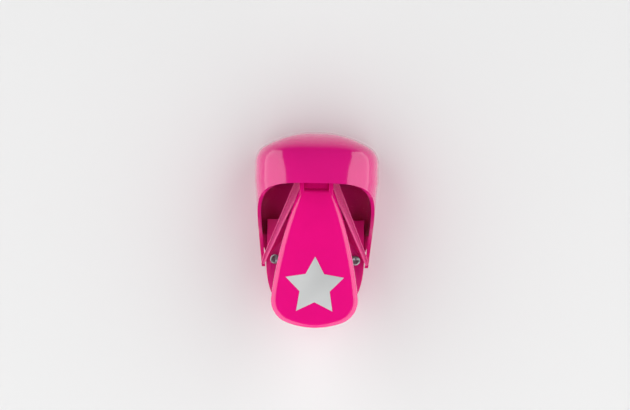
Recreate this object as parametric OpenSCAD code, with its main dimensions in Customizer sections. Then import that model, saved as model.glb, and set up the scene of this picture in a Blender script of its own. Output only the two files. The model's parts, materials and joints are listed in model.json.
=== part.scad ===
// Lever craft punch: a cowled plastic body, a long thumb lever, and a star punch and die.
// +Z is up, the thumb end points to -Y, and the origin lies under the middle of the body.

/* [Hood] */
// Half of the hood's width at its widest
hood_half_w = 31.9; // [31:0.1:34]
// Distance from the origin back to the rear of the hood
hood_back = 49.3; // [48.5:0.1:51]
// Height of the hood's crown
hood_top = 50; // [49:0.5:54]
// Place of the front lip, along Y
lip_y = 22.5; // [21:0.5:24]
// Place of the two wing tips, along Y
wing_tip_y = -20.6; // [-22:0.2:-18]
// Height of the wing tips
wing_tip_z = 16; // [15:0.5:18]
// How much narrower each side gets for every millimetre forward
hood_taper = 0.0986; // [0.09:0.001:0.105]
// Wall thickness of the hood
hood_wall = 1.8; // [1.8:0.1:2.2]

/* [Base] */
// Distance from the origin to the front of the base
base_front = -49.3; // [-50:0.1:-49]
// Half width of the base under the die
jaw_half_w = 25.5; // [25.5:0.1:26.5]
// Height of the deck that the paper slides over
deck_z = 11.5; // [11.5:0.5:12]
// Height of the gap that takes the paper
paper_gap = 1.7; // [1.5:0.1:2]
// Wall thickness of the base tray
base_wall = 2; // [1.6:0.2:2]
// Underside of the deck
tray_z = 6.5; // [6.5:0.1:6.8]
// Thickness of the bottom cover
cover_t = 2; // [1.6:0.1:2]

/* [Punch and die] */
// Outer radius of the punched star
star_r = 19; // [16:0.5:19]
// Inner radius of the star, as a share of the outer one
star_ratio = 0.515; // [0.5:0.005:0.53]
// Place of the star's centre, along Y
star_y = -27.3; // [-27.5:0.1:-27]
// Gap all round between the punch and the die
die_fit = 0.06; // [0.04:0.01:0.08]
// Thickness of the die plate
die_t = 2.5; // [2:0.1:2.5]
// Height of the guide block
guide_h = 9.3; // [9.3:0.1:9.5]
// Height of the guide block behind its drum
heel_h = 5.3; // [5:0.1:6]
// Radius of the round housing over the star
drum_r = 27.2; // [27:0.1:27.4]
// Travel of the punch
stroke = 7; // [6:0.5:7]
// Radius of the two guide posts
post_r = 2; // [1.8:0.1:2]

/* [Lever] */
// Slope of the thumb lever at rest, in degrees
lever_slope = 13.8; // [13:0.1:14.4]
// Height of the lever's front edge
lever_front_z = 60; // [59:0.5:61]
// Place of the lever's front edge, along Y
lever_front_y = -49.2; // [-49.2:0.1:-48.8]
// Length of the lever's top face
lever_len = 71.3; // [71:0.1:71.6]
// Half width of the lever's neck
neck_half_w = 8.5; // [8.5:0.1:8.6]
// Depth of the lever's skirt
skirt_h = 10; // [9:0.5:11]
// Thickness of the lever's top wall
lever_t = 2.4; // [2:0.1:2.6]
// Outer radius of the star label
label_r = 15.2; // [14:0.1:16]

/* [Pivot] */
// Place of the lever's pivot, along Y
pivot_y = 30; // [29.5:0.5:30.5]
// Height of the lever's pivot
pivot_z = 36; // [35.5:0.5:36]
// Radius of the pivot pin
pin_r = 2; // [1.8:0.1:2]
// Place of the pusher's contact line, along Y
press_y = -26; // [-26:0.5:-25]

/* [Hidden] */
$fn = 48;

pink = [0.93, 0.05, 0.52];
zinc = [0.66, 0.67, 0.69];
steel = [0.75, 0.76, 0.78];
eps = 0.01;

// Heights that stack up from the deck
seat_z = deck_z + paper_gap;
die_z = deck_z - die_t;
guide_top = seat_z + guide_h;
die_cover_gap = 0.1;
cover_roof = 1.4;
die_cover_top = guide_top + die_cover_gap + cover_roof;
heel_top = seat_z + heel_h;
heel_cover_top = heel_top + die_cover_gap + cover_roof;
punch_z = seat_z + 0.8;

// Pusher and punch head: the pusher's centre is level with the pivot at mid stroke
press_arm = pivot_y - press_y;
press_r = 4;
press_z = pivot_z + stroke / 2;
press_gap = 0.2;
wear_t = 1.6;
wear_top = press_z - press_r - press_gap;
flange_t = 2.2;
flange_z = wear_top - wear_t - flange_t;

// Outline of the hood: a wide rear arc, round corners and tapering sides
section_n = 4;
rear_n = 3;
crown_y = 24;
rear_arc_r = 53;
rear_arc_y = hood_back - rear_arc_r;
corner_r = 10;
corner_x = hood_half_w - corner_r;
corner_y = rear_arc_y + sqrt(pow(rear_arc_r - corner_r, 2) - corner_x * corner_x);
corner_a = atan2(corner_y - rear_arc_y, corner_x);

function side_w(y) = hood_half_w - hood_taper * max(0, crown_y - y);
function rear_arc_w(y, t) = sqrt(max(0, pow(rear_arc_r - t, 2) - pow(y - rear_arc_y, 2)));
function corner_w(y, t) = corner_x + sqrt(max(0, pow(corner_r - t, 2) - pow(y - corner_y, 2)));
function tangent_y(t) = rear_arc_y + (rear_arc_r - t) * sin(corner_a);
// Half width of the hood at y, inside a wall t thick
function hood_w(y, t) =
    y <= corner_y ? side_w(y) - t : y <= tangent_y(t) ? corner_w(y, t) : rear_arc_w(y, t);
// Height of the hood over its seat at y, inside a wall t thick
function hood_h(y, t) = (hood_top - seat_z - t)
    * pow(1 - pow(max(0, y - crown_y) / (hood_back - t - crown_y), rear_n), 1 / rear_n);
// Height of the open front edge over y, seen from the side
open_n = 1.8;
function open_z(y) = wing_tip_z
    + (hood_top - wing_tip_z) * pow((y - wing_tip_y) / (lip_y - wing_tip_y), open_n);
// Angle along the hood's section at which the open edge cuts it
function open_a(y) = y >= lip_y ? 90
    : asin(pow((open_z(y) - seat_z) / (hood_top - seat_z), section_n / 2));

function hood_point(y, a, t, side) = [side * hood_w(y, t) * pow(cos(a), 2 / section_n), y,
    seat_z + hood_h(y, t) * pow(sin(a), 2 / section_n)];

// The hood's grid: rows run from the wing tips to the back, columns from the rim to the top
wing_rows = 14;
rear_rows = 10;
rows = wing_rows + rear_rows;
cols = 10;
lip_crowding = 2.2;
rear_cut = 0.877;
back_flat = 0.05;
function crowded(u) = 1 - pow(1 - rear_cut * u, 3);
function row_y(r, t) = r <= wing_rows
    ? lip_y - (lip_y - wing_tip_y) * pow(1 - r / wing_rows, lip_crowding)
    : lip_y + (hood_back - t - back_flat - lip_y)
        * crowded((r - wing_rows) / rear_rows) / crowded(1);

module hood_skin() {
    per_side = (rows + 1) * (cols + 1);
    function id(layer, s, r, c) = (layer * 2 + (c == cols && r >= wing_rows ? 0 : s)) * per_side
        + r * (cols + 1) + c;
    points = [for (layer = [0, 1]) for (s = [1, -1]) for (r = [0:rows]) for (c = [0:cols])
        let (t = layer * hood_wall, y = row_y(r, t))
        c == cols && r >= wing_rows ? [0, y, seat_z + hood_h(y, t)]
            : hood_point(y, open_a(y) * c / cols, t, s)];
    function quad(p, q, r, s, flip) = flip ? [[p, q, r], [p, r, s]] : [[p, r, q], [p, s, r]];
    skins = [for (layer = [0, 1]) for (s = [0, 1]) for (r = [0:rows - 1]) for (c = [0:cols - 1])
        each quad(id(layer, s, r, c), id(layer, s, r + 1, c), id(layer, s, r + 1, c + 1),
            id(layer, s, r, c + 1), (layer + s) % 2 == 1)];
    rims = [for (s = [0, 1]) for (r = [0:rows - 1])
        each quad(id(0, s, r, 0), id(1, s, r, 0), id(1, s, r + 1, 0), id(0, s, r + 1, 0),
            s == 1)];
    lips = [for (s = [0, 1]) for (r = [0:wing_rows - 1])
        each quad(id(0, s, r, cols), id(0, s, r + 1, cols), id(1, s, r + 1, cols),
            id(1, s, r, cols), s == 1)];
    tips = [for (s = [0, 1]) for (c = [0:cols - 1])
        each quad(id(0, s, 0, c), id(0, s, 0, c + 1), id(1, s, 0, c + 1), id(1, s, 0, c),
            s == 1)];
    function back(layer) = concat([for (c = [0:cols]) id(layer, 0, rows, c)],
        [for (c = [cols - 1:-1:0]) id(layer, 1, rows, c)]);
    function flipped(f) = [for (i = [len(f) - 1:-1:0]) f[i]];
    heel = [id(0, 0, rows, 0), id(1, 0, rows, 0), id(1, 1, rows, 0), id(0, 1, rows, 0)];
    polyhedron(points, concat(skins, rims, lips, tips, [flipped(back(0)), back(1), heel]));
}

// Rounded front of the jaws, pulled in by t
jaw_y = -16;
jaw_n = 2.3;
jaw_steps = 18;
function jaw_front(t) = [for (i = [0:jaw_steps]) let (a = 90 * i / jaw_steps)
    [(jaw_half_w - t) * pow(sin(a), 2 / jaw_n),
        jaw_y - (jaw_y - base_front - t) * pow(cos(a), 2 / jaw_n)]];
function mirrored(p) = [for (i = [len(p) - 1:-1:0]) if (p[i][0] > eps) [-p[i][0], p[i][1]]];
function closed(p) = concat(p, mirrored(p));

// Outline of a jaw piece, pulled in by t and cut straight across at rear_y
module jaw_outline(t, rear_y) {
    polygon(closed(concat(jaw_front(t), [[jaw_half_w - t, rear_y], [0, rear_y]])));
}
// Drum over a low heel: the same outline, with its tall part bounded by a circle about the star
module drum_and_heel(t, rear_y, z0, heel_z, drum_z) {
    translate([0, 0, z0]) linear_extrude(heel_z - z0) jaw_outline(t, rear_y);
    intersection() {
        translate([0, 0, z0]) linear_extrude(drum_z - z0) jaw_outline(t, rear_y);
        translate([0, star_y, z0 - 1]) cylinder(r = drum_r - t, h = drum_z - z0 + 2);
    }
}

// Outline of the base, pulled in by t: the jaw's front, a flare, then the hood's own outline
flare_y = -2;
flare_steps = 6;
outline_steps = 9;
function flare(t) = [for (i = [1:flare_steps]) let (u = i / flare_steps)
    [jaw_half_w - t + (side_w(flare_y) - jaw_half_w) * u * u * (3 - 2 * u),
        jaw_y + (flare_y - jaw_y) * u]];
function base_rear(t) = concat([[side_w(crown_y) - t, crown_y]],
    [for (i = [0:outline_steps]) let (a = corner_a * i / outline_steps)
        [corner_x + (corner_r - t) * cos(a), corner_y + (corner_r - t) * sin(a)]],
    [for (i = [1:outline_steps]) let (a = corner_a + (90 - corner_a) * i / outline_steps)
        [(rear_arc_r - t) * cos(a), rear_arc_y + (rear_arc_r - t) * sin(a)]]);
module base_outline(t) {
    polygon(closed(concat(jaw_front(t), flare(t), base_rear(t))));
}

// Five-pointed star with one tip to the rear
module star(r) {
    polygon([for (i = [0:9]) let (a = 90 + 36 * i)
        r * (i % 2 == 0 ? 1 : star_ratio) * [cos(a), sin(a)]]);
}
module star_prism(r, z0, z1) {
    translate([0, star_y, z0]) linear_extrude(z1 - z0) star(r);
}

module at_both(x, y) {
    for (s = [-1, 1])
        translate([s * x, y, 0]) children();
}
module rod(r, z0, z1) {
    translate([0, 0, z0]) cylinder(r = r, h = z1 - z0);
}
// Cross-head screw, pointing down from its head's seat
module screw_down(r, head_r, head_h, seat, tip) {
    rod(r, tip, seat);
    difference() {
        rod(head_r, seat, seat + head_h);
        for (a = [0, 90])
            rotate(a) translate([-head_r * 0.6, -0.3, seat + head_h - 0.8]) cube([head_r * 1.2, 0.6, 1]);
    }
}
// The same screw, pointing up
module screw_up(r, head_r, head_h, seat, tip) {
    mirror([0, 0, 1]) screw_down(r, head_r, head_h, -seat, -tip);
}

// Fastener places and sizes
hood_screw_r = 1.25;
hood_screw_seat = 4;
rear_boss = [20, hood_back - 9.8];
rear_boss_r = 4.2;
rear_boss_top = 30;
front_boss_y = 23.5;
front_boss = [side_w(front_boss_y) - 4.95, front_boss_y];
front_boss_r = 3.6;
front_boss_top = 23;
cover_screw_r = 1;
cover_rear = [0, 42.5];
cover_sides = [22.5, 17];
cover_front = [17, -34];
cover_head_z = 1;
column_r = 3.2;
bracket_screw_ys = [23, 37];
bracket_screw_r = 1.5;
mount_screw = [21, -10];
mount_screw_r = 1.5;
frame_screw_xs = [-20, 0, 20];
frame_screw_y = -1;
frame_screw_r = 1.5;
frame_head_r = 2.75;
frame_head_z = heel_top - 2.6;
die_cover_screw = [20.6, -16.5];
die_cover_screw_r = 1.25;
post_x = 10;
post_y = star_y + 13.75;
spring_pocket_z = 16.5;
spring_pocket_r = 4.4;

// Throat: the paper stops against the spacer
throat_y = -4;
die_rear = 2;
chute_gap = 1.2;
chute_wall = 1.6;

module at_hood_screws() {
    at_both(rear_boss[0], rear_boss[1]) children();
    at_both(front_boss[0], front_boss[1]) children();
}
module at_cover_screws() {
    translate(cover_rear) children();
    at_both(cover_sides[0], cover_sides[1]) children();
    at_both(cover_front[0], cover_front[1]) children();
}
module at_bracket_screws() {
    for (y = bracket_screw_ys)
        translate([0, y, 0]) children();
}
module at_frame_screws() {
    for (x = frame_screw_xs)
        translate([x, frame_screw_y, 0]) children();
}

module base_shell() {
    color(pink) difference() {
        union() {
            linear_extrude(deck_z) base_outline(0);
            intersection() {
                linear_extrude(seat_z) base_outline(0);
                translate([-50, throat_y, deck_z - 1]) cube([100, 80, 10]);
            }
        }
        translate([0, 0, die_z]) linear_extrude(10) jaw_outline(1.5, die_rear + 0.15);
        translate([-jaw_half_w, throat_y - 1, deck_z])
            cube([2 * jaw_half_w, die_rear - throat_y + 1.15, 10]);
        difference() {
            translate([0, 0, -1]) linear_extrude(tray_z + 1) base_outline(base_wall);
            star_prism(star_r + chute_gap + chute_wall, cover_t + 0.1, tray_z + 1);
            at_hood_screws() rod(4, hood_screw_seat, tray_z + 1);
            at_cover_screws() rod(column_r, cover_t, tray_z + 1);
            at_bracket_screws() rod(column_r, cover_t, tray_z + 1);
        }
        star_prism(star_r + chute_gap, -1, die_z + 1);
        at_hood_screws() rod(hood_screw_r + 0.1, 0, seat_z + 1);
        at_cover_screws() rod(cover_screw_r, 0, tray_z);
        at_bracket_screws() rod(bracket_screw_r, tray_z - 2, seat_z + 1);
        at_both(mount_screw[0], mount_screw[1]) rod(mount_screw_r + 0.1, 0, die_z + 1);
    }
}

cover_fit = 0.15;
module base_cover() {
    color(pink) difference() {
        linear_extrude(cover_t) base_outline(base_wall + cover_fit);
        star_prism(star_r + chute_gap, -1, cover_t + 1);
        at_cover_screws() rod(cover_screw_r + 0.1, -1, cover_t + 1);
        at_cover_screws() rod(2.1, -1, cover_head_z + 0.1);
    }
}

module cover_screws() {
    color(steel) at_cover_screws()
        screw_up(cover_screw_r, 1.9, cover_head_z - 0.1, cover_head_z + 0.1, tray_z - 0.5);
}

module die_plate() {
    color(steel) difference() {
        translate([0, 0, die_z]) linear_extrude(die_t) jaw_outline(1.6, die_rear);
        star_prism(star_r + die_fit, die_z - 1, deck_z + 1);
        at_both(mount_screw[0], mount_screw[1]) rod(mount_screw_r, die_z - 1, deck_z + 1);
        at_frame_screws() rod(frame_screw_r, die_z - 1, deck_z + 1);
    }
}

module die_mount_screws() {
    color(steel) at_both(mount_screw[0], mount_screw[1])
        screw_up(mount_screw_r, 2.8, 1.6, tray_z, deck_z - 0.1);
}

module throat_spacer() {
    color(steel) difference() {
        translate([-23.4, throat_y, deck_z]) cube([46.8, die_rear - throat_y, paper_gap]);
        at_frame_screws() rod(frame_screw_r, deck_z - 1, seat_z + 1);
    }
}

module guide_block() {
    color(zinc) difference() {
        drum_and_heel(2.1, die_rear, seat_z, heel_top, guide_top);
        star_prism(star_r + die_fit, seat_z - 1, guide_top + 1);
        at_both(post_x, post_y) rod(post_r + 0.02, seat_z + 0.78, guide_top);
        at_both(post_x, post_y) rod(spring_pocket_r, spring_pocket_z, guide_top + 1);
        at_frame_screws() rod(frame_screw_r, seat_z - 1, guide_top);
        at_frame_screws() rod(frame_head_r + 0.15, frame_head_z, guide_top + 1);
        at_both(die_cover_screw[0], die_cover_screw[1])
            rod(die_cover_screw_r, guide_top - 6, guide_top + 1);
    }
}

module die_frame_screws() {
    color(steel) at_frame_screws()
        screw_down(frame_screw_r, frame_head_r, 2.4, frame_head_z, die_z + 0.2);
}

post_top = flange_z + 1.7;
module guide_posts() {
    color(steel) at_both(post_x, post_y) rod(post_r, seat_z + 0.8, post_top);
}

// Round wire swept along a helix with flat, closed ends
spring_r = 3.2;
wire_r = 0.45;
spring_turns = 6.5;
wire_sides = 6;
spring_steps = 84;
module coil(z0, z1) {
    function turn(i) = 360 * spring_turns * i / spring_steps;
    function lift(i) = let (u = (i / spring_steps - 0.1) / 0.8, v = min(1, max(0, u)))
        z0 + wire_r + (z1 - z0 - 2 * wire_r) * v * v * (3 - 2 * v);
    points = [for (i = [0:spring_steps]) for (k = [0:wire_sides - 1])
        let (b = 360 * k / wire_sides, r = spring_r + wire_r * cos(b))
        [r * cos(turn(i)), r * sin(turn(i)), lift(i) + wire_r * sin(b)]];
    function at(i, k) = i * wire_sides + k % wire_sides;
    walls = [for (i = [0:spring_steps - 1]) for (k = [0:wire_sides - 1])
        each [[at(i, k), at(i, k + 1), at(i + 1, k + 1)], [at(i, k), at(i + 1, k + 1), at(i + 1, k)]]];
    ends = [[for (k = [wire_sides - 1:-1:0]) at(0, k)],
        [for (k = [0:wire_sides - 1]) at(spring_steps, k)]];
    polyhedron(points, concat(walls, ends));
}
module return_springs() {
    color(steel) at_both(post_x, post_y) coil(spring_pocket_z, flange_z - 0.05);
}

die_cover_rear = 4;
module die_cover() {
    color(pink) difference() {
        drum_and_heel(0.6, die_cover_rear, seat_z, heel_cover_top, die_cover_top);
        drum_and_heel(1.9, die_rear + 0.2, seat_z - 1, heel_top + die_cover_gap,
            guide_top + die_cover_gap);
        star_prism(star_r + 1.4, guide_top - 1, die_cover_top + 1);
        at_both(post_x, post_y) rod(spring_pocket_r + 0.4, guide_top - 1, die_cover_top + 1);
        at_both(die_cover_screw[0], die_cover_screw[1])
            rod(die_cover_screw_r + 0.1, guide_top - 1, die_cover_top + 1);
    }
}

module die_cover_screws() {
    color(steel) at_both(die_cover_screw[0], die_cover_screw[1])
        screw_down(die_cover_screw_r, 2.4, 1.4, die_cover_top, guide_top - 5.5);
}

module hood() {
    color(pink) difference() {
        union() {
            hood_skin();
            at_both(rear_boss[0], rear_boss[1]) rod(rear_boss_r, seat_z, rear_boss_top);
            at_both(front_boss[0], front_boss[1]) rod(front_boss_r, seat_z, front_boss_top);
        }
        at_hood_screws() rod(hood_screw_r, seat_z - 1, front_boss_top - 2);
    }
}

module hood_screws() {
    color(steel) at_hood_screws()
        screw_up(hood_screw_r, 2.6, 1.6, hood_screw_seat, front_boss_top - 2.5);
}

// Steel bracket: a floor and two ears that hold the pivot pin
bracket_t = 1.8;
ear_x = 9.4;
ear_r = 5;
bracket_ys = [19, 41];
module ear_profile() {
    difference() {
        union() {
            translate([pivot_y, pivot_z]) circle(r = ear_r);
            polygon([[bracket_ys[0], seat_z], [bracket_ys[1], seat_z],
                [bracket_ys[1], seat_z + 4], [pivot_y + ear_r, pivot_z],
                [pivot_y - ear_r, pivot_z], [bracket_ys[0], seat_z + 4]]);
        }
        translate([pivot_y, pivot_z]) circle(r = pin_r + 0.02);
    }
}
// Draws a (y, z) profile across X, from x0 to x1
module across(x0, x1) {
    translate([x0, 0, 0]) rotate([90, 0, 90]) linear_extrude(x1 - x0) children();
}
module pivot_bracket() {
    color(steel) union() {
        across(ear_x, ear_x + bracket_t) ear_profile();
        across(-ear_x - bracket_t, -ear_x) ear_profile();
        difference() {
            translate([-ear_x - bracket_t / 2, bracket_ys[0], seat_z])
                cube([2 * ear_x + bracket_t, bracket_ys[1] - bracket_ys[0], bracket_t]);
            at_bracket_screws() rod(bracket_screw_r, seat_z - 1, seat_z + 4);
        }
    }
}

module bracket_screws() {
    color(steel) at_bracket_screws()
        screw_down(bracket_screw_r, 2.6, 1.6, seat_z + bracket_t, tray_z - 1.5);
}

arm_t = 2.4;
arm_x = neck_half_w - arm_t;
tail_ys = [33, 37.5];
stop_top = 18;
module lever_stop_pads() {
    color([0.1, 0.1, 0.1]) at_both(neck_half_w - arm_t / 2, 0)
        translate([-1.6, tail_ys[0] - 0.5, seat_z + bracket_t])
        cube([3.2, tail_ys[1] - tail_ys[0] + 1, stop_top - seat_z - bracket_t]);
}

pin_half = 13;
module pivot_pin() {
    color(steel) translate([0, pivot_y, pivot_z]) rotate([0, 90, 0])
        cylinder(r = pin_r, h = 2 * pin_half, center = true);
}

module pin_clips() {
    color([0.25, 0.25, 0.27]) for (x = [-ear_x - bracket_t - 0.9, ear_x + bracket_t + 0.1])
        translate([x, pivot_y, pivot_z]) rotate([0, 90, 0]) difference() {
            cylinder(r = 4, h = 0.8);
            translate([0, 0, -1]) cylinder(r = pin_r, h = 3);
        }
}

// Outline of the lever's top, pulled in by t, from its front edge back to its neck
tip_arc_r = 38;
lever_corner_r = 12.3;
lever_corner_x = 9.4;
lever_corner_y = tip_arc_r - sqrt(pow(tip_arc_r - lever_corner_r, 2) - pow(lever_corner_x, 2));
tip_a = asin(lever_corner_x / (tip_arc_r - lever_corner_r));
corner_end = 6;
side_x0 = lever_corner_x + lever_corner_r * cos(corner_end);
side_y0 = lever_corner_y + lever_corner_r * sin(corner_end);
side_slope = -tan(corner_end);
side_run = lever_len - side_y0;
side_bend = (neck_half_w - side_x0 - side_slope * side_run) / (side_run * side_run);
function lever_side(y, t) = side_x0 - t + side_slope * (y - side_y0)
    + side_bend * (y - side_y0) * (y - side_y0);
function lever_flat(t, neck) = concat(
    [for (i = [0:3]) let (a = tip_a * i / 3)
        [(tip_arc_r - t) * sin(a), tip_arc_r - (tip_arc_r - t) * cos(a)]],
    [for (i = [1:9]) let (a = tip_a + (90 + corner_end - tip_a) * i / 9)
        [lever_corner_x + (lever_corner_r - t) * sin(a),
            lever_corner_y - (lever_corner_r - t) * cos(a)]],
    [for (i = [1:10]) let (y = side_y0 + (neck - side_y0) * i / 10) [lever_side(y, t), y]]);
// Puts children on the lever's sloping top face, y running back from the front edge
module on_lever() {
    translate([0, lever_front_y, lever_front_z]) rotate([-lever_slope, 0, 0]) children();
}
function lever_z(y) = lever_front_z - (y - lever_front_y) * tan(lever_slope);
// Upright walls on the lever's outline, between two levels under its sloping top face
module lever_walls(t, neck, low, high) {
    plan = [for (p = lever_flat(t, neck)) [p[0], lever_front_y + p[1] * cos(lever_slope)]];
    intersection() {
        translate([0, 0, 20]) linear_extrude(60)
            polygon(closed(concat(plan, [[0, plan[len(plan) - 1][1]]])));
        on_lever() translate([-30, -20, low]) cube([60, lever_len + 40, high - low]);
    }
}

boss_r = 5.5;
bushing_r = 3;
arm_start = 13;
arm_top_end = 26;
module arm_profile() {
    difference() {
        union() {
            translate([pivot_y, pivot_z]) circle(r = boss_r);
            polygon([[arm_start, lever_z(arm_start)], [arm_top_end, lever_z(arm_top_end)],
                [pivot_y + 4, pivot_z + 3.8], [pivot_y + boss_r, pivot_z],
                [tail_ys[1], pivot_z - 8], [tail_ys[1], stop_top + 0.2],
                [tail_ys[0], stop_top + 0.2], [pivot_y + 0.5, pivot_z - 8],
                [pivot_y - boss_r, pivot_z - 1.5],
                [arm_start, lever_z(arm_start) - skirt_h / cos(lever_slope)]]);
        }
        translate([pivot_y, pivot_z]) circle(r = bushing_r);
    }
}
// Sunken web that joins the two arms behind the lever's face
web_drop = 2.2;
web_t = 2;
web_end = 26.5;
module web_profile() {
    start = lever_front_y + lever_len * cos(lever_slope) - 1;
    polygon([[start, lever_z(start) - web_drop], [web_end, lever_z(web_end) - web_drop],
        [web_end, lever_z(web_end) - web_drop - web_t],
        [start, lever_z(start) - web_drop - web_t]]);
}
skirt_t = 2;
label_recess = 0.15;
lever_screw_ys = [33, 56];
stiff_t = 1.5;
label_y = (-28.8 - lever_front_y) / cos(lever_slope);
module lever_shell() {
    color(pink) union() {
        difference() {
            lever_walls(0, lever_len, -skirt_h, 0);
            lever_walls(skirt_t, lever_len + 1, -skirt_h - 5, -lever_t);
            on_lever() translate([0, label_y, -label_recess]) linear_extrude(1)
                star(label_r + 0.05);
            on_lever() for (y = lever_screw_ys)
                translate([0, y, 0]) rod(1, -lever_t - 1, -0.9);
        }
        across(arm_x, neck_half_w) arm_profile();
        across(-neck_half_w, -arm_x) arm_profile();
        across(-arm_x - eps, arm_x + eps) web_profile();
    }
}

module lever_stiffener() {
    color(steel) on_lever() difference() {
        translate([-5.5, 14, -lever_t - stiff_t]) cube([11, 48, stiff_t]);
        for (y = lever_screw_ys)
            translate([0, y, 0]) rod(1.1, -10, 0);
    }
}

module lever_screws() {
    color(steel) on_lever() for (y = lever_screw_ys)
        translate([0, y, 0]) screw_up(1, 2, 1.2, -lever_t - stiff_t, -1);
}

saddle_half_w = 6;
module press_saddle() {
    top = lever_z(press_y) - (lever_t + stiff_t) / cos(lever_slope);
    rise = press_r * tan(lever_slope);
    color([0.92, 0.92, 0.9]) across(-saddle_half_w, saddle_half_w) union() {
        translate([press_y, press_z]) circle(r = press_r);
        polygon([[press_y - press_r, press_z], [press_y + press_r, press_z],
            [press_y + press_r, top - rise], [press_y - press_r, top + rise]]);
    }
}

bushing_flange = 0.8;
module lever_bushings() {
    color([0.72, 0.6, 0.3]) for (m = [0, 1])
        mirror([m, 0, 0]) translate([arm_x, pivot_y, pivot_z]) rotate([0, 90, 0]) difference() {
            union() {
                cylinder(r = bushing_r, h = arm_t);
                translate([0, 0, arm_t]) cylinder(r = bushing_r + 1, h = bushing_flange);
            }
            translate([0, 0, -1]) cylinder(r = pin_r + 0.04, h = 6);
        }
}

module star_label() {
    color([0.78, 0.79, 0.8]) on_lever()
        translate([0, label_y, -label_recess]) linear_extrude(0.3) star(label_r);
}

// Punch: the star, its flange and the two eyes that run on the guide posts
flange_r = 17.5;
eye_r = 4.2;
plate_screw = [8.5, star_y + 2.8];
module punch() {
    color(zinc) difference() {
        union() {
            star_prism(star_r, punch_z, flange_z + eps);
            translate([0, star_y, 0]) rod(flange_r, flange_z, flange_z + flange_t);
            at_both(post_x, post_y) rod(eye_r, flange_z, flange_z + flange_t);
        }
        at_both(post_x, post_y) rod(post_r + 0.05, flange_z - 1, flange_z + 5);
        at_both(plate_screw[0], plate_screw[1]) rod(1, flange_z - 4, flange_z + 5);
    }
}

module wear_plate() {
    color(steel) difference() {
        translate([-12, -34, flange_z + flange_t]) cube([24, 15, wear_t]);
        at_both(plate_screw[0], plate_screw[1]) rod(1.1, flange_z, wear_top + 1);
        at_both(plate_screw[0], plate_screw[1]) rod(2.2, wear_top - 1, wear_top + 1);
    }
}

module plate_screws() {
    color(steel) at_both(plate_screw[0], plate_screw[1])
        screw_down(1, 2.1, 0.95, wear_top - 1, flange_z - 3.5);
}

base_shell();
base_cover();
cover_screws();
die_plate();
die_mount_screws();
throat_spacer();
guide_block();
die_frame_screws();
guide_posts();
return_springs();
die_cover();
die_cover_screws();
hood();
hood_screws();
pivot_bracket();
bracket_screws();
lever_stop_pads();
pivot_pin();
pin_clips();
lever_shell();
lever_stiffener();
lever_screws();
press_saddle();
lever_bushings();
star_label();
punch();
wear_plate();
plate_screws();
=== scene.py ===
import json
import math

import bmesh
import bpy
import numpy as np
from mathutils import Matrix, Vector


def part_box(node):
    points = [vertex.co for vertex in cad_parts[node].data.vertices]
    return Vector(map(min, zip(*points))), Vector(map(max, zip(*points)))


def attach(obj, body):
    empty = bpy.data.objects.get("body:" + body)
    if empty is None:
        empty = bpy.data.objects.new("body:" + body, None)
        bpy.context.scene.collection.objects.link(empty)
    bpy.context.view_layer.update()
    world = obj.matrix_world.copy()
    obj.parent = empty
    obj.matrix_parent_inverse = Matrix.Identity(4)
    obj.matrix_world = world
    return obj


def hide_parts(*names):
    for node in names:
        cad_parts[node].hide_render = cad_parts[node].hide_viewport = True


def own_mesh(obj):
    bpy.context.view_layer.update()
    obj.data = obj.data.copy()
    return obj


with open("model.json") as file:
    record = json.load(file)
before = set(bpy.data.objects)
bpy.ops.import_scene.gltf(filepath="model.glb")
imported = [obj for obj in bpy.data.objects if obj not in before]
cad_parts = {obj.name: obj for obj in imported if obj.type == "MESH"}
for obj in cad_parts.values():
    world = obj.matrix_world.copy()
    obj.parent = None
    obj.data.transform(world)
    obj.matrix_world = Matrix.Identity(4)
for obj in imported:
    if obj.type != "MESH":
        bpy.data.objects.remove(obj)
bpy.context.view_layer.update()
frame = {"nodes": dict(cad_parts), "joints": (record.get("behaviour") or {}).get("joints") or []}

MM = 0.001
scene = bpy.context.scene

# ---------------------------------------------------------------- sizes, in millimetres


def cad_box(node):
    """Lowest and highest corner of a CAD node, in millimetres."""
    low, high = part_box(node)
    return Vector(low) / MM, Vector(high) / MM


hood_low, hood_high = cad_box("hood")
lever_low, lever_high = cad_box("lever_shell")
hinge = next(j for j in frame["joints"] if j["name"] == "lever_hinge")
PIVOT_Y, PIVOT_Z = hinge["pos_m"][1] / MM, hinge["pos_m"][2] / MM

# Hood: wide rear arc, round corners, tapering sides, superellipse sections
HALF_W = hood_high.x
SEAT_Z, TOP_Z = hood_low.z, hood_high.z
BACK_Y = cad_box("base_shell")[1].y
WING_TIP_Y, LIP_Y, CROWN_Y = hood_low.y, 22.5, 24.0
WING_TIP_Z = 16.0
TAPER = 0.0986
HOOD_WALL = 1.8
REAR_ARC_R, CORNER_R = 53.0, 10.0
SECTION_N, REAR_N, OPEN_N = 4.0, 3.0, 1.8
REAR_ARC_Y = BACK_Y - REAR_ARC_R
CORNER_X = HALF_W - CORNER_R
CORNER_Y = REAR_ARC_Y + math.sqrt((REAR_ARC_R - CORNER_R) ** 2 - CORNER_X**2)
CORNER_A = math.atan2(CORNER_Y - REAR_ARC_Y, CORNER_X)

# Lever: teardrop outline on a sloping plane
SLOPE = math.radians(13.8)
LEVER_FRONT_Y, LEVER_FRONT_Z = lever_low.y, lever_high.z
LEVER_LEN = 71.3
NECK_HALF_W = 8.5
TIP_ARC_R, LEVER_CORNER_R, LEVER_CORNER_X = 38.0, 12.3, 9.4
LEVER_CORNER_Y = TIP_ARC_R - math.sqrt((TIP_ARC_R - LEVER_CORNER_R) ** 2 - LEVER_CORNER_X**2)
TIP_A = math.asin(LEVER_CORNER_X / (TIP_ARC_R - LEVER_CORNER_R))
CORNER_END = math.radians(6)
SKIRT_H, LEVER_T, SKIRT_T = 10.0, 2.4, 2.0
ARM_T = 2.4

# ---------------------------------------------------------------- making pieces


def link(name, mesh):
    obj = bpy.data.objects.new(name, mesh)
    scene.collection.objects.link(obj)
    return obj


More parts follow.
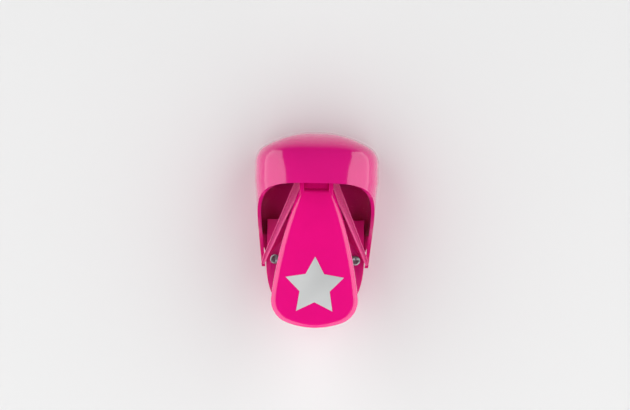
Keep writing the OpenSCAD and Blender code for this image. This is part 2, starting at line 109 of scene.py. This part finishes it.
def mesh_object(name, points, faces):
    """A mesh object from points in millimetres, with its faces turned outwards."""
    mesh = bpy.data.meshes.new(name)
    mesh.from_pydata([tuple(c * MM for c in p) for p in points], [], faces)
    mesh.validate()
    work = bmesh.new()
    work.from_mesh(mesh)
    bmesh.ops.remove_doubles(work, verts=work.verts, dist=1e-7)
    bmesh.ops.recalc_face_normals(work, faces=work.faces)
    work.to_mesh(mesh)
    work.free()
    return link(name, mesh)


def soften(obj, width, segments=3, angle=35):
    """Rounds every edge sharper than angle, by width in millimetres, and shades the rest smooth."""
    for polygon in obj.data.polygons:
        polygon.use_smooth = True
    bevel = obj.modifiers.new("edges", "BEVEL")
    bevel.width = width * MM
    bevel.segments = segments
    bevel.limit_method = "ANGLE"
    bevel.angle_limit = math.radians(angle)
    bevel.harden_normals = True
    bevel.use_clamp_overlap = True
    return obj


def place(obj, body, material, replaces=()):
    """Gives a piece its material and body, and hides the CAD nodes it stands for."""
    obj.data.materials.clear()
    obj.data.materials.append(material)
    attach(obj, body)
    if replaces:
        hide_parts(*replaces)
    return obj


def refined(node, body, material, width, segments=2):
    """A copy of a CAD node with its flat faces merged and its edges rounded."""
    source = frame["nodes"][node]
    work = bmesh.new()
    work.from_mesh(source.data)
    bmesh.ops.remove_doubles(work, verts=work.verts, dist=2e-6)
    bmesh.ops.dissolve_limit(
        work, angle_limit=math.radians(0.5), verts=work.verts, edges=work.edges
    )
    mesh = bpy.data.meshes.new(node + "_look")
    work.to_mesh(mesh)
    work.free()
    obj = link(node + "_look", mesh)
    soften(obj, width, segments)
    return place(obj, body, material, [node])


# ---------------------------------------------------------------- materials


class Shader:
    """A node material with the object's own coordinates and a Principled shader."""

    def __init__(self, name, colour, roughness, metallic=0.0):
        self.material = bpy.data.materials.new(name)
        self.material.use_nodes = True
        self.tree = self.material.node_tree
        self.shader = self.tree.nodes["Principled BSDF"]
        self.place = self.add("ShaderNodeTexCoord").outputs["Object"]
        self.colour, self.roughness = colour, roughness
        self.shader.inputs["Metallic"].default_value = metallic
        self.shader.inputs["Base Color"].default_value = (*colour, 1)
        self.shader.inputs["Roughness"].default_value = roughness

    def add(self, kind, **settings):
        node = self.tree.nodes.new(kind)
        for key, value in settings.items():
            setattr(node, key, value)
        return node

    def join(self, output, target):
        self.tree.links.new(output, target)

    def stretched(self, scale):
        """The object's coordinates, scaled by three factors."""
        mapping = self.add("ShaderNodeMapping")
        mapping.inputs["Scale"].default_value = scale
        self.join(self.place, mapping.inputs["Vector"])
        return mapping.outputs["Vector"]

    def noise(self, per_metre, detail=2.0, vector=None, roughness=0.5):
        node = self.add("ShaderNodeTexNoise")
        node.inputs["Scale"].default_value = per_metre
        node.inputs["Detail"].default_value = detail
        node.inputs["Roughness"].default_value = roughness
        self.join(vector or self.place, node.inputs["Vector"])
        return node.outputs["Fac"]

    def ranged(self, value, low, high, from_low=0.3, from_high=0.7):
        node = self.add("ShaderNodeMapRange")
        node.inputs["From Min"].default_value = from_low
        node.inputs["From Max"].default_value = from_high
        node.inputs["To Min"].default_value = low
        node.inputs["To Max"].default_value = high
        self.join(value, node.inputs["Value"])
        return node.outputs["Result"]

    def add_values(self, first, second):
        node = self.add("ShaderNodeMath", operation="ADD")
        self.join(first, node.inputs[0])
        self.join(second, node.inputs[1])
        return node.outputs["Value"]

    def tint(self, value, darker, lighter):
        """Base colour runs from darker to lighter times the material's colour."""
        mix = self.add("ShaderNodeMix", data_type="RGBA")
        mix.inputs["A"].default_value = (*[min(1, c * darker) for c in self.colour], 1)
        mix.inputs["B"].default_value = (*[min(1, c * lighter) for c in self.colour], 1)
        self.join(self.ranged(value, 0, 1), mix.inputs["Factor"])
        self.join(mix.outputs["Result"], self.shader.inputs["Base Color"])

    def rough(self, value):
        self.join(value, self.shader.inputs["Roughness"])

    def bump(self, value, height_mm, strength=1.0):
        node = self.add("ShaderNodeBump")
        node.inputs["Distance"].default_value = height_mm * MM
        node.inputs["Strength"].default_value = strength
        self.join(value, node.inputs["Height"])
        self.join(node.outputs["Normal"], self.shader.inputs["Normal"])

    def set(self, **values):
        for key, value in values.items():
            self.shader.inputs[key.replace("_", " ")].default_value = value
        return self.material


def moulded_plastic(name, colour, roughness, peel_mm=0.004, gloss=0.9, specular=0.5):
    """Moulded plastic under a clear gloss: slight colour drift, fine scuffs, faint orange peel."""
    s = Shader(name, colour, roughness)
    s.tint(s.noise(45, 3), 0.96, 1.03)
    scuffs = s.noise(1, 4, s.stretched((90, 1500, 300)), 0.6)
    grain = s.noise(2600, 2)
    s.rough(s.add_values(
        s.ranged(grain, roughness - 0.02, roughness + 0.03),
        s.ranged(scuffs, 0.0, 0.06, 0.55, 0.8),
    ))
    s.bump(s.noise(420, 2), peel_mm)
    return s.set(
        Subsurface_Weight=0.08, Subsurface_Scale=0.0015, Specular_IOR_Level=specular,
        Subsurface_Radius=(1.0, 0.35, 0.6), IOR=1.49,
        Coat_Weight=gloss, Coat_Roughness=0.07, Coat_IOR=1.5,
    )


def ground_steel(name, colour, roughness, direction):
    """Steel with fine grinding lines along one direction."""
    s = Shader(name, colour, roughness, metallic=1.0)
    lines = s.noise(1, 4, s.stretched(direction), 0.65)
    s.tint(lines, 0.86, 1.08)
    s.rough(s.add_values(
        s.ranged(lines, roughness - 0.06, roughness + 0.1),
        s.ranged(s.noise(160, 3), -0.03, 0.05),
    ))
    s.bump(lines, 0.006)
    return s.set(Anisotropic=0.35)


def cast_zinc(name, colour, roughness):
    """Die-cast zinc: satin, faintly mottled and grainy."""
    s = Shader(name, colour, roughness, metallic=1.0)
    s.tint(s.noise(140, 5, roughness=0.65), 0.82, 1.08)
    s.rough(s.ranged(s.noise(700, 4), roughness - 0.08, roughness + 0.12))
    s.bump(s.noise(1800, 4), 0.02)
    return s.material


def plated(name, colour, roughness):
    """Bright plating with faint handling marks."""
    s = Shader(name, colour, roughness, metallic=1.0)
    s.tint(s.noise(500, 3), 0.88, 1.06)
    s.rough(s.ranged(s.noise(900, 4), roughness - 0.05, roughness + 0.12))
    s.bump(s.noise(2500, 2), 0.003)
    return s.material


def rubber(name, colour):
    s = Shader(name, colour, 0.8)
    s.tint(s.noise(900, 4), 0.8, 1.25)
    s.rough(s.ranged(s.noise(1500, 3), 0.7, 0.92))
    s.bump(s.noise(2500, 4), 0.03)
    return s.material


def nylon(name, colour):
    s = Shader(name, colour, 0.45)
    s.tint(s.noise(220, 3), 0.95, 1.03)
    s.rough(s.ranged(s.noise(1200, 3), 0.38, 0.55))
    s.bump(s.noise(1400, 3), 0.01)
    return s.set(Subsurface_Weight=0.25, Subsurface_Scale=0.002)


def silver_foil(name, colour):
    """Satin silver foil on the label, with a fine grain."""
    s = Shader(name, colour, 0.42, metallic=0.35)
    s.tint(s.noise(80, 3), 0.97, 1.02)
    s.rough(s.ranged(s.noise(2200, 3), 0.36, 0.5))
    s.bump(s.noise(3000, 3), 0.004)
    return s.material


# Painted shade: the hood's pink is set darker than the lever's pink of the same plastic, standing
# in for the shade over the hood's crown.
SHADED_HOOD_PINK = moulded_plastic("shaded_hood_pink", (0.68, 0.008, 0.2), 0.12, 0.003)
LEVER_PINK = moulded_plastic("lever_pink", (0.84, 0.003, 0.22), 0.2, 0.004)
BASE_PINK = moulded_plastic("base_pink", (0.68, 0.012, 0.19), 0.24, 0.005, 0.6)
# Painted reflection: the ribs' pink is lighter and paler than the other pinks, standing in for the
# glare seen along them.
GLARED_RIB_PINK = moulded_plastic("glared_rib_pink", (0.98, 0.09, 0.36), 0.26, 0.005, 0.9)
COVER_PINK = moulded_plastic("cover_pink", (0.66, 0.006, 0.17), 0.42, 0.012, 0.0, 0.12)
DIE_STEEL = ground_steel("die_steel", (0.6, 0.61, 0.63), 0.28, (120, 2600, 400))
BRACKET_STEEL = ground_steel("bracket_steel", (0.55, 0.57, 0.59), 0.32, (400, 300, 2600))
PIN_STEEL = plated("pin_steel", (0.66, 0.67, 0.69), 0.16)
SPRING_STEEL = plated("spring_steel", (0.36, 0.37, 0.39), 0.3)
SCREW_STEEL = plated("screw_steel", (0.6, 0.61, 0.63), 0.24)
ZINC = cast_zinc("zinc", (0.46, 0.47, 0.49), 0.42)
STOP_RUBBER = rubber("stop_rubber", (0.018, 0.018, 0.02))
SADDLE_NYLON = nylon("saddle_nylon", (0.78, 0.76, 0.7))
BUSHING_BRASS = plated("bushing_brass", (0.66, 0.46, 0.18), 0.28)
LABEL_SILVER = silver_foil("label_silver", (0.66, 0.67, 0.67))

# ---------------------------------------------------------------- hood


def side_w(y):
    return HALF_W - TAPER * max(0.0, CROWN_Y - y)


def hood_w(y, t):
    """Half width of the hood at y, inside a wall t thick."""
    if y <= CORNER_Y:
        return side_w(y) - t
    if y <= REAR_ARC_Y + (REAR_ARC_R - t) * math.sin(CORNER_A):
        return CORNER_X + math.sqrt(max(0.0, (CORNER_R - t) ** 2 - (y - CORNER_Y) ** 2))
    return math.sqrt(max(0.0, (REAR_ARC_R - t) ** 2 - (y - REAR_ARC_Y) ** 2))


def hood_h(y, t):
    """Height of the hood over its seat at y, inside a wall t thick."""
    share = max(0.0, y - CROWN_Y) / (BACK_Y - t - CROWN_Y)
    return (TOP_Z - SEAT_Z - t) * max(0.0, 1 - share**REAR_N) ** (1 / REAR_N)


def hood_point(y, a, t, side):
    """A point on the hood's section at y, at angle a up from its rim."""
    p = 2 / SECTION_N
    return (
        side * hood_w(y, t) * max(0.0, math.cos(a)) ** p,
        y,
        SEAT_Z + hood_h(y, t) * max(0.0, math.sin(a)) ** p,
    )


def open_y(a):
    """Where the opening's edge runs along the hood, for the angle a up its section."""
    z = SEAT_Z + (TOP_Z - SEAT_Z) * math.sin(a) ** (2 / SECTION_N)
    rise = max(0.0, (z - WING_TIP_Z) / (TOP_Z - WING_TIP_Z))
    return WING_TIP_Y + (LIP_Y - WING_TIP_Y) * rise ** (1 / OPEN_N)


# Half width of the lip's straight middle, and its angle up the hood's section
LIP_HALF = 9.0
LIP_A = math.acos((LIP_HALF / HALF_W) ** (SECTION_N / 2))


def opening_edge(count):
    """(y, a) at even steps along a wing's open edge, from its tip to the straight of the lip."""
    samples = 1200
    first = math.asin(((WING_TIP_Z - SEAT_Z) / (TOP_Z - SEAT_Z)) ** (SECTION_N / 2))
    fine = [first + (LIP_A - first) * (0.5 - 0.5 * math.cos(math.pi * i / samples))
            for i in range(samples + 1)]
    points = np.array([hood_point(open_y(a), a, 0, 1) for a in fine])
    run = np.concatenate([[0], np.cumsum(np.linalg.norm(np.diff(points, axis=0), axis=1))])
    angles = np.interp(np.linspace(0, run[-1], count + 1), run, fine)
    return [(open_y(a), a) for a in angles]


def make_hood():
    """The cowl, as an outer and an inner sheet joined round every free edge."""
    wing_rows, rear_rows, cols, lip_cols = 40, 34, 24, 6
    rows, width = wing_rows + rear_rows, cols + lip_cols
    edge = opening_edge(wing_rows)
    lip_angles = [math.acos((LIP_HALF * (1 - k / lip_cols) / HALF_W) ** (SECTION_N / 2))
                  for k in range(1, lip_cols + 1)]
    rear_cut = 0.95
    back_flat = 0.05

    def line(r, t):
        """(y, a) of one row from the rim up: to the open edge on the wings, else to the middle."""
        if r <= wing_rows:
            y, last = edge[r]
        else:
            crowded = (1 - (1 - rear_cut * (r - wing_rows) / rear_rows) ** 3) / (
                1 - (1 - rear_cut) ** 3
            )
            y, last = LIP_Y + (BACK_Y - t - back_flat - LIP_Y) * crowded, LIP_A
        low = [(y, last * (0.5 - 0.5 * math.cos(math.pi * c / cols))) for c in range(cols + 1)]
        if r < wing_rows:
            return low
        return low + [(open_y(a) if r == wing_rows else y, a) for a in lip_angles]

    points, index = [], {}
    for layer, t in enumerate((0.0, HOOD_WALL)):
        for s, side in enumerate((1, -1)):
            for r in range(rows + 1):
                for c, (y, a) in enumerate(line(r, t)):
                    if s == 1 and c == width:
                        index[layer, s, r, c] = index[layer, 0, r, c]
                        continue
                    index[layer, s, r, c] = len(points)
                    points.append(hood_point(y, a, t, side))
    faces = []

    def strip(s, first, second):
        """Joins the two sheets along one step of a free edge."""
        faces.append([index[0, s, *first], index[0, s, *second],
                      index[1, s, *second], index[1, s, *first]])

    for s in (0, 1):
        for r in range(rows):
            for layer in (0, 1):
                for c in range(cols if r < wing_rows else width):
                    faces.append([index[layer, s, r, c], index[layer, s, r + 1, c],
                                  index[layer, s, r + 1, c + 1], index[layer, s, r, c + 1]])
            strip(s, (r, 0), (r + 1, 0))
            if r < wing_rows:
                strip(s, (r, cols), (r + 1, cols))
        for c in range(cols):
            strip(s, (0, c), (0, c + 1))
        for c in range(cols, width):
            strip(s, (wing_rows, c), (wing_rows, c + 1))
    for layer in (0, 1):
        faces.append([index[layer, 0, rows, c] for c in range(width + 1)]
                     + [index[layer, 1, rows, c] for c in range(width - 1, -1, -1)])
    faces.append([index[0, 0, rows, 0], index[1, 0, rows, 0],
                  index[1, 1, rows, 0], index[0, 1, rows, 0]])
    hood = soften(mesh_object("hood_cowl", points, faces), 0.6, 4, 40)
    return place(hood, "body", SHADED_HOOD_PINK, ["hood"])


def stacked(name, rings):
    """A solid through rings of equal length, closed by a face at each end."""
    count = len(rings[0])
    points = [p for ring in rings for p in ring]
    faces = []
    for k in range(len(rings) - 1):
        for i in range(count):
            j = (i + 1) % count
            faces.append([k * count + i, k * count + j, (k + 1) * count + j, (k + 1) * count + i])
    faces.append(list(range(count)))
    faces.append([(len(rings) - 1) * count + i for i in range(count)])
    return mesh_object(name, points, faces)


def turned(name, centre, profile, steps=40):
    """A solid of revolution about an upright axis; profile runs (radius, z) from bottom to top."""
    angles = [2 * math.pi * i / steps for i in range(steps)]
    return stacked(name, [
        [(centre[0] + radius * math.cos(a), centre[1] + radius * math.sin(a), z) for a in angles]
        for radius, z in profile
    ])


REAR_BOSS, REAR_BOSS_R, REAR_BOSS_TOP = (20.0, BACK_Y - 9.8), 4.2, 30.0
FRONT_BOSS, FRONT_BOSS_R, FRONT_BOSS_TOP = (side_w(23.5) - 4.95, 23.5), 3.6, 23.0


def make_hood_bosses():
    for label, (x, y), radius, top in (
        ("rear", REAR_BOSS, REAR_BOSS_R, REAR_BOSS_TOP),
        ("front", FRONT_BOSS, FRONT_BOSS_R, FRONT_BOSS_TOP),
    ):
        for side, word in ((1, "right"), (-1, "left")):
            boss = turned(
                f"hood_boss_{label}_{word}", (side * x, y),
                [(radius, SEAT_Z), (radius - 0.15, top)],
            )
            soften(boss, 0.5, 3)
            place(boss, "body", SHADED_HOOD_PINK)


# ---------------------------------------------------------------- lever


def lever_z(y):
    return LEVER_FRONT_Z - (y - LEVER_FRONT_Y) * math.tan(SLOPE)


def lever_half(t):
    """Half of the lever's outline in plan, pulled in by t, from its front edge to its neck."""
    side_x0 = LEVER_CORNER_X + LEVER_CORNER_R * math.cos(CORNER_END)
    side_y0 = LEVER_CORNER_Y + LEVER_CORNER_R * math.sin(CORNER_END)
    run = LEVER_LEN - side_y0
    lean = -math.tan(CORNER_END)
    bend = (NECK_HALF_W - side_x0 - lean * run) / run**2
    flat = []
    for i in range(9):
        a = TIP_A * i / 8
        flat.append(((TIP_ARC_R - t) * math.sin(a), TIP_ARC_R - (TIP_ARC_R - t) * math.cos(a)))
    for i in range(1, 25):
        a = TIP_A + (math.pi / 2 + CORNER_END - TIP_A) * i / 24
        flat.append((LEVER_CORNER_X + (LEVER_CORNER_R - t) * math.sin(a),
                     LEVER_CORNER_Y - (LEVER_CORNER_R - t) * math.cos(a)))
    for i in range(1, 25):
        y = side_y0 + (LEVER_LEN - t - side_y0) * i / 24
        d = y - side_y0
        flat.append((side_x0 - t + lean * d + bend * d * d, y))
    return [(x, LEVER_FRONT_Y + y * math.cos(SLOPE)) for x, y in flat]


def lever_ring(t, depth):
    """The lever's outline pulled in by t, at a depth under its sloping top face."""
    half = lever_half(t)
    loop = half + [(-x, y) for x, y in reversed(half) if x > 1e-6]
    return [(x, y, lever_z(y) - depth / math.cos(SLOPE)) for x, y in loop]


EDGE_R, EDGE_STEPS = 2.8, 10


def make_lever():
    """The thumb lever: a drafted skirt and a rounded edge about a flat face, hollow below."""
    draft = 0.1
    rings = [lever_ring(SKIRT_T, LEVER_T), lever_ring(SKIRT_T + 0.1, SKIRT_H - 0.5),
             lever_ring(SKIRT_T - 0.4, SKIRT_H), lever_ring(0.5, SKIRT_H),
             lever_ring(0, SKIRT_H - 0.5)]
    for i in range(EDGE_STEPS + 1):
        a = math.pi / 2 * i / EDGE_STEPS
        rings.append(lever_ring(draft + (EDGE_R - draft) * (1 - math.cos(a)),
                                EDGE_R * (1 - math.sin(a))))
    lever = soften(stacked("thumb_lever", rings), 0.12, 2, 30)
    place(lever, "lever", LEVER_PINK, ["lever_shell"])


def arm_profile():
    """Outline of a lever arm in (y, z): under the face, round the pivot, down to its tail."""
    start, top_end, boss_r = 11.0, 25.5, 5.5
    tail = (33.0, 37.5)
    tail_z = cad_box("lever_stop_pads")[1].z + 0.2
    points = [(start, lever_z(start) - 0.6), (19.0, lever_z(19.0) - 0.15),
              (top_end, lever_z(top_end))]
    for i in range(13):
        a = math.radians(105 - 105 * i / 12)
        points.append((PIVOT_Y + boss_r * math.cos(a), PIVOT_Z + boss_r * math.sin(a)))
    points += [(tail[1], PIVOT_Z - 8), (tail[1], tail_z), (tail[0], tail_z),
               (PIVOT_Y + 0.5, PIVOT_Z - 8), (PIVOT_Y - boss_r + 0.4, PIVOT_Z - 2),
               (start, lever_z(start) - SKIRT_H + 1)]
    return points


def make_arms():
    profile = arm_profile()
    count = len(profile)
    for side, word in ((1, "right"), (-1, "left")):
        near, far = side * (NECK_HALF_W - ARM_T), side * NECK_HALF_W
        points = [(near, y, z) for y, z in profile] + [(far, y, z) for y, z in profile]
        faces = [list(range(count)), list(range(2 * count - 1, count - 1, -1))]
        faces += [[i, (i + 1) % count, count + (i + 1) % count, count + i] for i in range(count)]
        arm = mesh_object(f"lever_arm_{word}", points, faces)
        soften(arm, 0.4, 3, 20)
        place(arm, "lever", LEVER_PINK)


WEB_DROP, WEB_T, WEB_END = 2.2, 2.0, 26.5


def make_web():
    """The sunken web between the two arms, behind the lever's face."""
    start = LEVER_FRONT_Y + LEVER_LEN * math.cos(SLOPE) - 1
    half = NECK_HALF_W - ARM_T
    outline = [(y, lever_z(y) - drop) for y, drop in (
        (start, WEB_DROP), (WEB_END, WEB_DROP),
        (WEB_END, WEB_DROP + WEB_T), (start, WEB_DROP + WEB_T))]
    points = [(x, y, z) for x in (-half, half) for y, z in outline]
    faces = [[0, 1, 2, 3], [7, 6, 5, 4]] + [[i, (i + 1) % 4, 4 + (i + 1) % 4, 4 + i]
                                           for i in range(4)]
    web = soften(mesh_object("lever_web", points, faces), 0.3, 3)
    place(web, "lever", LEVER_PINK)


def make_lever_ribs():
    """Cross ribs under the lever's face, one mesh."""
    points, faces = [], []
    for y, depth in ((-40.0, 6.0), (-14.0, 7.0), (-6.0, 7.0), (3.0, 7.5)):
        half = next(
            (x for x, py in reversed(lever_half(SKIRT_T - 0.3)) if py <= y), 10.0
        )
        for gap_side in (-1, 1):
            low_x, high_x = sorted((gap_side * 6.2, gap_side * half))
            base = len(points)
            for x in (low_x, high_x):
                for dy in (-0.6, 0.6):
                    for d in (LEVER_T - 0.2, depth):
                        points.append((x, y + dy, lever_z(y + dy) - d / math.cos(SLOPE)))
            faces += [[base + k for k in f] for f in (
                (0, 1, 3, 2), (4, 6, 7, 5), (0, 4, 5, 1), (2, 3, 7, 6), (0, 2, 6, 4), (1, 5, 7, 3))]
    ribs = soften(mesh_object("lever_ribs", points, faces), 0.2, 2)
    place(ribs, "lever", LEVER_PINK)


# ---------------------------------------------------------------- diagonal ribs

# Stations along a diagonal rib, in millimetres: y, outer x, inner x, height of its top
RIB_STATIONS = (
    (-19.0, 27.6, 25.8, 25.4), (-14.5, 26.4, 23.9, 25.8), (-7.0, 23.4, 20.4, 26.8),
    (1.0, 20.2, 16.7, 27.8), (8.0, 17.4, 13.4, 28.8), (14.0, 15.0, 10.5, 29.6),
    (20.0, 12.6, 8.3, 30.4), (24.0, 11.0, 7.6, 30.6),
)
RIB_T, RIB_DIP = 2.0, 0.5
RIB_RAIL, RIB_RAIL_FOOT = 0.16, 0.1


def make_diagonal_ribs():
    """Two channelled ribs from the lever's neck to the wing tips, below the lever's travel."""
    for side, word in ((1, "right"), (-1, "left")):
        rings = []
        for y, outer, inner, z in RIB_STATIONS:
            run = inner - outer
            rings.append([(side * (outer + run * u), y, z - drop) for u, drop in (
                (0, 0), (RIB_RAIL, 0), (RIB_RAIL + RIB_RAIL_FOOT, RIB_DIP),
                (1 - RIB_RAIL_FOOT - RIB_RAIL, RIB_DIP), (1 - RIB_RAIL, 0), (1, 0),
                (1, RIB_T), (0, RIB_T))])
        rib = soften(stacked(f"diagonal_rib_{word}", rings), 0.18, 2, 25)
        # The ribs' lighter pink carries a painted reflection.
        place(rib, "body", GLARED_RIB_PINK)


# ---------------------------------------------------------------- springs


def make_springs():
    """Two coils of round wire with closed ends."""
    low, high = cad_box("return_springs")
    wire, turns, steps, sides = 0.45, 6.5, 400, 12
    radius = (high.y - low.y) / 2 - wire
    centre_x, centre_y = high.x - radius - wire, (low.y + high.y) / 2
    bottom, top = low.z + wire, high.z - wire
    for side, word in ((1, "right"), (-1, "left")):
        points, faces = [], []
        for i in range(steps + 1):
            u = i / steps
            turn = 2 * math.pi * turns * u
            v = min(1.0, max(0.0, (u - 0.12) / 0.76))
            z = bottom + (top - bottom) * v * v * (3 - 2 * v)
            for k in range(sides):
                b = 2 * math.pi * k / sides
                r = radius + wire * math.cos(b)
                points.append((side * centre_x + r * math.cos(turn),
                               centre_y + r * math.sin(turn), z + wire * math.sin(b)))
        for i in range(steps):
            for k in range(sides):
                j = (k + 1) % sides
                faces.append([i * sides + k, i * sides + j,
                              (i + 1) * sides + j, (i + 1) * sides + k])
        faces.append(list(range(sides)))
        faces.append([steps * sides + k for k in range(sides)])
        coil = mesh_object(f"return_spring_{word}", points, faces)
        for polygon in coil.data.polygons:
            polygon.use_smooth = True
        place(coil, "body", SPRING_STEEL, ["return_springs"])
        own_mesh(coil)


# ---------------------------------------------------------------- the object

make_hood()
make_hood_bosses()
make_lever()
make_arms()
make_web()
make_lever_ribs()
make_springs()
make_diagonal_ribs()

for node, body, slot, material, width in (
    ("base_shell", "body", "base_plastic", BASE_PINK, 0.4),
    ("base_cover", "body", "base_plastic", BASE_PINK, 0.25),
    ("cover_screws", "body", "screw_steel", SCREW_STEEL, 0.12),
    ("die_plate", "body", "die_steel", DIE_STEEL, 0.12),
    ("die_mount_screws", "body", "screw_steel", SCREW_STEEL, 0.12),
    ("throat_spacer", "body", "die_steel", DIE_STEEL, 0.12),
    ("guide_block", "body", "zinc_alloy", ZINC, 0.2),
    ("die_frame_screws", "body", "screw_steel", SCREW_STEEL, 0.12),
    ("guide_posts", "body", "pin_steel", PIN_STEEL, 0.3),
    ("die_cover", "body", "base_plastic", COVER_PINK, 0.1),
    # Painted shade: the die cover's screws take the dark spring steel so they read as dark as the
    # shaded interior around them.
    ("die_cover_screws", "body", "screw_steel", SPRING_STEEL, 0.15),
    ("hood_screws", "body", "screw_steel", SCREW_STEEL, 0.12),
    ("pivot_bracket", "body", "bracket_steel", BRACKET_STEEL, 0.25),
    ("bracket_screws", "body", "screw_steel", SCREW_STEEL, 0.15),
    ("lever_stop_pads", "body", "stop_rubber", STOP_RUBBER, 0.3),
    ("pivot_pin", "body", "pin_steel", PIN_STEEL, 0.3),
    ("pin_clips", "body", "spring_steel", SPRING_STEEL, 0.12),
    ("lever_stiffener", "lever", "bracket_steel", BRACKET_STEEL, 0.25),
    ("lever_screws", "lever", "screw_steel", SCREW_STEEL, 0.12),
    ("press_saddle", "lever", "saddle_nylon", SADDLE_NYLON, 0.4),
    ("lever_bushings", "lever", "bushing_brass", BUSHING_BRASS, 0.12),
    ("star_label", "lever", "label_silver", LABEL_SILVER, 0.06),
    ("punch", "punch", "zinc_alloy", ZINC, 0.12),
    ("wear_plate", "punch", "die_steel", DIE_STEEL, 0.25),
    ("plate_screws", "punch", "screw_steel", SCREW_STEEL, 0.08),
):
    refined(node, body, material, width)

# ---------------------------------------------------------------- floor, light and camera


def make_floor():
    size = 9000.0
    floor = mesh_object("floor", [(-size, -size, 0), (size, -size, 0), (size, size, 0),
                                  (-size, size, 0)], [[0, 1, 2, 3]])
    s = Shader("floor_paper", (0.76, 0.76, 0.76), 0.7)
    s.tint(s.noise(3, 2), 0.995, 1.005)
    s.rough(s.ranged(s.noise(300, 2), 0.65, 0.75))
    s.set(Specular_IOR_Level=0.2)
    floor.data.materials.append(s.material)


def softbox(name, place_m, facing, size_m, power):
    """A rectangular area light that shines along facing, with its long side level."""
    light = bpy.data.lights.new(name, "AREA")
    light.shape = "RECTANGLE"
    light.size, light.size_y = size_m
    light.energy = power
    obj = bpy.data.objects.new(name, light)
    scene.collection.objects.link(obj)
    obj.location = place_m
    obj.rotation_euler = Vector(facing).to_track_quat("-Z", "Y").to_euler()
    obj.visible_camera = False


def make_world():
    """A surround with a pale horizon under a dark ceiling."""
    world = bpy.data.worlds.new("studio")
    scene.world = world
    world.use_nodes = True
    tree = world.node_tree
    background = tree.nodes["Background"]
    background.inputs["Color"].default_value = (1, 1, 1, 1)
    coordinates = tree.nodes.new("ShaderNodeTexCoord")
    split = tree.nodes.new("ShaderNodeSeparateXYZ")
    ramp = tree.nodes.new("ShaderNodeMapRange")
    tree.links.new(coordinates.outputs["Generated"], split.inputs["Vector"])
    tree.links.new(split.outputs["Z"], ramp.inputs["Value"])
    ramp.inputs["From Min"].default_value = 0.0
    ramp.inputs["From Max"].default_value = 0.3
    ramp.inputs["To Min"].default_value = 0.6
    ramp.inputs["To Max"].default_value = 0.012
    tree.links.new(ramp.outputs["Result"], background.inputs["Strength"])


SOFTBOX_SIZE, SOFTBOX_POWER = (5.6, 1.9), 53
CAMERA_PLACE, CAMERA_ROLL = (-0.0006, 0.0116, 0.9), 1.1
CAMERA_LENS, CAMERA_SENSOR = 97.6, 36

make_floor()
make_world()
softbox("softbox_right", (1.15, 0.52, 0.75), (-0.95, 0.25, -0.72), SOFTBOX_SIZE, SOFTBOX_POWER)
softbox("softbox_left", (-1.15, 0.52, 0.75), (0.95, 0.25, -0.72), SOFTBOX_SIZE, SOFTBOX_POWER)

camera_data = bpy.data.cameras.new("camera")
camera_data.lens = CAMERA_LENS
camera_data.sensor_width = CAMERA_SENSOR
camera = bpy.data.objects.new("camera", camera_data)
scene.collection.objects.link(camera)
camera.location = CAMERA_PLACE
camera.rotation_euler = (0, 0, math.radians(CAMERA_ROLL))
scene.camera = camera
scene.view_settings.view_transform = "Standard"
